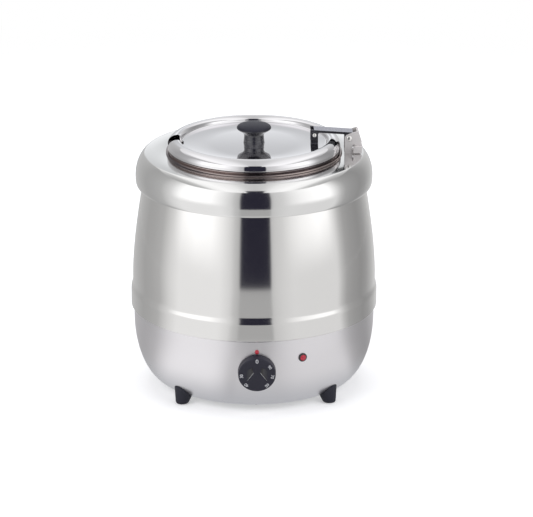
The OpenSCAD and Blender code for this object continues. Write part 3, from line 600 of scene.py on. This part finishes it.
def foot(node_name, across, deep):
    """A rubber foot that leans in under the bowl and is cut to the bowl's outside."""
    obj = turned(node_name + "_rubber", foot_line, steps=48, closed=False)
    lean = -FOOT_LEAN / FOOT_LEAN_Z / math.sqrt(2)
    obj.data.transform(Matrix(((1, 0, across * lean, across * FOOT_AT * MM),
                               (0, 1, deep * lean, deep * FOOT_AT * MM),
                               (0, 0, 1, 0), (0, 0, 0, 1))))
    boolean(obj, turned("bowl_core", core_line, steps=192, closed=False))
    smooth(obj, 30)
    return finished(obj, node_name)


for side, across in (("left", -1), ("right", 1)):
    foot("foot_front_" + side, across, -1)
    foot("foot_back_" + side, across, 1)

# ---- Lid ---------------------------------------------------------------------------------
lid_line = (
    [(LID_R - HEM_W, LID_Z)]
    + arc(LID_R - HEM_EDGE_R, LID_Z + HEM_EDGE_R, HEM_EDGE_R, HEM_EDGE_R, -90, 0, 8)
    + curve((LID_R, LID_Z + 4.2), (LID_R - 0.5, RING_Z - 5.6), (LID_R - 4.5, RING_Z - 0.9),
            (LID_R - 12.5, RING_Z), 36)
    + curve((LID_R - 13.5, RING_Z), (LID_R - 17, RING_Z), (PANEL_R + 2.4, RING_Z - 3),
            (PANEL_R + 1.4, PANEL_Z + 2), 24)
    + arc(PANEL_R - 1.2, PANEL_Z + PANEL_EDGE_R, PANEL_EDGE_R, PANEL_EDGE_R, -15, -90, 8)
    + [(60, PANEL_Z), (0, PANEL_Z)])


def notch_prism(name, grow, bottom, top):
    """The ladle notch seen from above, grown all round and raised from bottom to top."""
    half, corner = NOTCH_W / 2, NOTCH_CORNER_R
    centre, round_r = -LID_R + NOTCH_L - corner, corner + grow
    outline = (
        [(-LID_R - 5, -half - grow), (-LID_R - 5, half + grow)]
        + arc(centre, half - corner, round_r, round_r, 90, 0, 10)
        + arc(centre, -half + corner, round_r, round_r, 0, -90, 10))
    obj = outline_object(name, outline, True)

    def raise_walls():
        bpy.ops.mesh.edge_face_add()
        bpy.ops.mesh.extrude_region_move(
            TRANSFORM_OT_translate={"value": (0, (top - bottom) * MM, 0)})
        bpy.ops.mesh.select_all(action="SELECT")
        bpy.ops.mesh.normals_make_consistent(inside=False)

    edit(obj, raise_walls)
    upright = Matrix(((1, 0, 0, 0), (0, 0, 1, 0), (0, 1, 0, bottom * MM), (0, 0, 0, 1)))
    obj.data.transform(upright)
    obj.data.flip_normals()
    return obj


lid = turned_sheet("lid", lid_line, LID_T)
boolean(lid, notch_prism("notch", 0, LID_Z - 2, RING_Z + 2))
# The notch has a wall of its own: a filled ring, cut to the notch's outside and inside
notch_wall = turned(
    "notch_wall",
    [p for p in lid_line if p[0] > PANEL_R - 3]
    + [(PANEL_R - 2, PANEL_Z), (PANEL_R - 2, PANEL_Z - LID_T), (LID_R - HEM_W, LID_Z + LID_T)])
boolean(notch_wall, notch_prism("outer", LID_T, LID_Z, RING_Z + 1), "INTERSECT")
boolean(notch_wall, notch_prism("inner", 0, LID_Z - 1, RING_Z + 2))
make_active(lid)
notch_wall.select_set(True)
bpy.ops.object.join()
smooth(lid, 30)
finished(lid, "lid_panel")

knob_line = (
    [(0, 0), (STEM_D / 2 + 0.6, 0), (STEM_D / 2 + 0.2, 1.6), (STEM_D / 2 - 0.2, 5.2)]
    + arc(STEM_D / 2 - 0.1, 6, 0.5, 0.5, 240, 120, 6)
    + [(STEM_D / 2 - 0.3, 7)]
    + curve((STEM_D / 2 - 0.6, 10), (STEM_D / 2 - 0.4, KNOB_H - 12.5),
            (KNOB_D / 2 - 4, KNOB_H - 11.6), (KNOB_D / 2 - 0.8, KNOB_H - 8.6), 24)
    + arc(KNOB_D / 2 - 1.6, KNOB_H - 6.8, 1.6, 2, -35, 30, 8)
    + curve((KNOB_D / 2 - 1.2, KNOB_H - 4.4), (KNOB_D / 2 - 5, KNOB_H - 0.9),
            (8, KNOB_H), (0, KNOB_H), 24))
knob = turned("knob", [(r, z + PANEL_Z) for r, z in knob_line], steps=128, closed=False)
finished(knob, "lid_knob")

# ---- Dial numbers ------------------------------------------------------------------------
dial_frame = Matrix((dial_right, dial_up, dial_out)).transposed().to_4x4()
dial_frame.translation = dial_centre


def dial_number(text, turn, size=NUMBER_SIZE, bold=0.06):
    """A printed number on the dial's face, its foot towards the dial's centre."""
    deselect_all()
    bpy.ops.object.text_add()
    obj = bpy.context.object
    obj.data.body = text
    obj.data.align_x = "CENTER"
    obj.data.align_y = "CENTER"
    obj.data.size = size * MM
    obj.data.extrude = INK_T * MM
    obj.data.offset = bold * MM
    bpy.ops.object.convert(target="MESH")
    obj = bpy.context.object
    obj.name = obj.data.name = "number_" + text
    spin = Matrix.Rotation(math.radians(-turn), 4, "Z")
    obj.data.transform(dial_frame @ spin @ Matrix.Translation((0, NUMBER_AT * MM, FACE * MM)))
    return finished(obj, slot="dial_print", body="dial")


dial_number("0", 0, ZERO_SIZE, bold=0.1)
for number, turn in (("90", 55), ("70", 97), ("60", 139), ("40", 223), ("30", 266)):
    dial_number(number, turn)

# ---- Studio ------------------------------------------------------------------------------
WHITE = (1.0, 1.0, 1.0, 1.0)
TENT_R, TENT_H, TENT_STEPS = 1.1, 1.0, 96
TENT_FLOOR_Z, FLOOR_Z, FLOOR_SIZE = -0.0005, -0.001, 60
LIT_SPOT = Vector((0, 0, 0.2))


def only_seen_by(obj, **seen):
    """Lets only the named kinds of ray meet an object."""
    for kind in ("camera", "diffuse", "glossy", "transmission", "volume_scatter", "shadow"):
        setattr(obj, "visible_" + kind, seen.get(kind, False))


def emitter(name, colour_of):
    """A glowing material whose colour is a function of place."""
    f = Finish(name)
    colour = colour_of(f)
    shader = f.node("ShaderNodeEmission", {}, {"Color": colour, "Strength": 1.0})
    f.node("ShaderNodeOutputMaterial", {}, [shader])
    return f.material


def grey(level, warmth=0.0):
    """A grey as the eye sees it, 0 to 255, a little warm or cool."""
    linear = (level / 255) ** 2.2
    return (linear * (1 + warmth), linear, linear * (1 - warmth))


# The grey that the tent shows by the angle from the front, in degrees: on the right, then on
# the left. In front is a dark slot, out to SLOT_EDGE, and DARK stands for its DARK_TONE.
DARK, DARK_TONE, SLOT_EDGE = 43, (0.0235, 0.0225, 0.036), 13.5
AROUND = [(0, DARK), (13.2, DARK), (13.8, 204), (18, 212), (24, 220), (33, 246), (42, 264),
          (51, 274), (60, 284), (71, 278), (78, 236), (84, 196), (90, 170), (98, 160),
          (113, 150), (124, 160), (151, 206), (180, 212)]
AROUND_LEFT = [(0, DARK), (13.2, DARK), (13.8, 190), (18, 202), (22, 226), (31, 256), (40, 280),
               (56, 290), (71, 276), (82, 224), (95, 184), (108, 174), (120, 170), (142, 186),
               (180, 204)]
# The wall behind, by height in metres
BEHIND = [(0.0, 176), (0.5, 215), (0.62, 262), (0.645, 264), (0.655, 250), (0.665, 236),
          (0.68, 221), (0.693, 208), (0.75, 206), (0.85, 220), (1.0, 240)]
# The top, by distance to the side in metres
OVERHEAD = [(0.0, 205), (0.1, 214), (0.25, 252), (0.5, 272), (0.7, 262), (0.85, 206),
            (TENT_R, 176)]
# The slot's level where it meets the floor, and further in, and the floor under the kettle
SLOT_FOOT, SLOT_NEAR, UNDER = 174, 206, 187
# The most that the right and the left have at the wall's foot, and on the floor
LOW_LIGHT, NEAR_LIGHT, FULL_LIGHT = (228, 243), (224, 246), (300, 300)
# Beyond this share of a half turn, the floor shows what stands FLOOR_BEND further round
SLOT_SIDE, FLOOR_BEND = 0.11, 0.16


def ramp(f, table, place, whole=1.0, warmth=0.0):
    """The grey that a table gives for a place, which runs from 0 to whole in the table."""
    stops = [(spot / whole, DARK_TONE if level == DARK else grey(level, warmth))
             for spot, level in table]
    return f.node("ShaderNodeValToRGB", {"stops": stops}, [place])


def around(f, turn, right, slot=DARK, most=FULL_LIGHT):
    """The surroundings by angle: the slot's level, and the most that the right and left have."""
    sides = [[(spot, slot if spot < SLOT_EDGE else min(level, top)) for spot, level in table]
             for table, top in ((AROUND, most[0]), (AROUND_LEFT, most[1]))]
    return f.mix(right, ramp(f, sides[1], turn, 180), ramp(f, sides[0], turn, 180))


def front_angle(x, y):
    """0 at the front to 1 at the back, and whether a point is on the right."""
    return abs(x).turn_from(y * -1.0) / math.pi, x.step(-0.02, 0.02)


def wall_colour(f):
    """In front and at the sides by angle, with less contrast low down; behind by height."""
    x, y, height = f.axes()
    turn, right = front_angle(x, y)
    foot_tone = around(f, turn, right, SLOT_FOOT, LOW_LIGHT)
    low = f.mix(height.step(0.01, 0.03), foot_tone, around(f, turn, right, DARK, LOW_LIGHT))
    ahead = f.mix(height.step(0.05, 0.27), low, around(f, turn, right))
    behind = ramp(f, BEHIND, height, TENT_H, -0.02)
    return f.mix(turn.step(0.84, 0.93), ahead, behind)


def floor_colour(f):
    """One grey under the kettle, and the surroundings by angle further out."""
    x, y, _ = f.axes()
    turn, right = front_angle(x, y)
    reach = distance(x, y)
    beyond_slot = (turn - SLOT_SIDE).clamped()
    turn = turn + beyond_slot * (FLOOR_BEND - reach.step(0.15, TENT_R) * FLOOR_BEND)
    near = f.mix(reach.step(0.12, 0.24), grey(UNDER, -0.03),
                 around(f, turn, right, SLOT_NEAR, NEAR_LIGHT))
    return f.mix(reach.step(0.3, 0.46), near, around(f, turn, right, SLOT_FOOT, LOW_LIGHT))


def top_colour(f):
    """Bright to the sides, with a dark strip in front that carries the slot on."""
    x, y, _ = f.axes()
    bright = ramp(f, OVERHEAD, abs(x), TENT_R)
    lit = abs(x).step(0.14, 0.16) | y.step(-0.86, -0.82)
    return f.mix(lit, DARK_TONE, f.mix(y.step(0.1, 0.9), bright, grey(236)))


def tent_piece(name, colour_of):
    """Makes the new primitive a part of the tent, which only gloss sees."""
    obj = settle(bpy.context.object)
    obj.name = name
    obj.data.materials.append(emitter(name.replace("_", " "), colour_of))
    smooth(obj)
    only_seen_by(obj, glossy=True)


def tent():
    """A light tent that only the metal sees, open in front in a dark slot."""
    deselect_all()
    bpy.ops.mesh.primitive_cylinder_add(vertices=TENT_STEPS, radius=TENT_R, depth=TENT_H,
                                        end_fill_type="NOTHING", location=(0, 0, TENT_H / 2))
    tent_piece("tent_wall", wall_colour)
    for name, height, colour_of in (("tent_top", TENT_H, top_colour),
                                    ("tent_floor", TENT_FLOOR_Z, floor_colour)):
        bpy.ops.mesh.primitive_circle_add(vertices=TENT_STEPS, radius=TENT_R,
                                          fill_type="NGON", location=(0, 0, height))
        tent_piece(name, colour_of)


def white_floor():
    """A floor that keeps the kettle's shadow and is plain white further off."""
    bpy.ops.mesh.primitive_plane_add(size=FLOOR_SIZE, location=(0, 0, FLOOR_Z))
    floor = settle(bpy.context.object)
    floor.name = "floor"
    f = Finish("floor")
    shown = f.background_ray()
    plain = f.node("ShaderNodeBsdfDiffuse", {}, {"Color": (0.8, 0.8, 0.8, 1)})
    lit = f.node("ShaderNodeEmission", {}, {"Color": WHITE, "Strength": 0.35})
    both = f.node("ShaderNodeAddShader", {}, [plain, lit])
    x, y, _ = f.axes()
    far = distance(x, y).step(0.9, 2.0)
    white = f.node("ShaderNodeEmission", {}, {"Color": WHITE, "Strength": 1.0})
    seen = f.node("ShaderNodeMixShader", {}, [far, both, white])
    chosen = f.node("ShaderNodeMixShader", {}, [shown, plain, seen])
    f.node("ShaderNodeOutputMaterial", {}, [chosen])
    floor.data.materials.append(f.material)
    only_seen_by(floor, camera=True, diffuse=True, shadow=True)


def softbox(name, spot, size, watts):
    """A flat lamp that looks at the kettle and doesn't show in the steel."""
    data = bpy.data.lights.new(name, "AREA")
    data.shape = "RECTANGLE"
    data.size, data.size_y = size
    data.energy = watts
    obj = bpy.data.objects.new(name, data)
    bpy.context.scene.collection.objects.link(obj)
    obj.location = spot
    obj.rotation_euler = (LIT_SPOT - Vector(spot)).to_track_quat("-Z", "Y").to_euler()
    obj.visible_glossy = False
    obj.visible_camera = False


tent()
white_floor()
softbox("left softbox", (-1.3, -1.1, 1.3), (1.2, 1.2), 16)
softbox("right softbox", (1.3, -1.0, 1.3), (1.2, 1.2), 13)
softbox("top softbox", (0, 0.4, 1.9), (1.6, 1.6), 14)
softbox("back softbox", (0, 1.6, 1.0), (1.4, 1.0), 8)

world = bpy.data.worlds.new("studio")
bpy.context.scene.world = world
world.use_nodes = True
sky = Finish("world", world.node_tree)
soft = sky.node("ShaderNodeBackground", {}, [(0.9, 0.92, 1.0, 1), 0.45])
white = sky.node("ShaderNodeBackground", {}, [WHITE, 1.0])
mixed = sky.node("ShaderNodeMixShader", {}, [sky.background_ray(), soft, white])
sky.node("ShaderNodeOutputWorld", {}, [mixed])

# ---- Camera ------------------------------------------------------------------------------
AZIMUTH, ELEVATION, DISTANCE = -1.35, 18.6, 5.0
IMAGE_W, IMAGE_H = 533, 517
PIXELS_PER_M = 702.0
CENTRE_AT = (254.0, 253.5)
AIM_Z, SENSOR_W = 0.186, 36.0

camera_data = bpy.data.cameras.new("camera")
camera = bpy.data.objects.new("camera", camera_data)
bpy.context.scene.collection.objects.link(camera)
aim = Vector((0, 0, AIM_Z))
turn, rise = math.radians(AZIMUTH), math.radians(ELEVATION)
away = Vector((math.sin(turn) * math.cos(rise), -math.cos(turn) * math.cos(rise), math.sin(rise)))
camera.location = aim + away * DISTANCE
camera.rotation_euler = (-away).to_track_quat("-Z", "Y").to_euler()
camera_data.sensor_width = SENSOR_W
camera_data.lens = SENSOR_W * DISTANCE * PIXELS_PER_M / IMAGE_W
camera_data.shift_x = (IMAGE_W / 2 - CENTRE_AT[0]) / IMAGE_W
camera_data.shift_y = (CENTRE_AT[1] - IMAGE_H / 2) / IMAGE_W
camera_data.clip_end = 100
bpy.context.scene.camera = camera
bpy.context.scene.view_settings.view_transform = "Standard"

deselect_all()
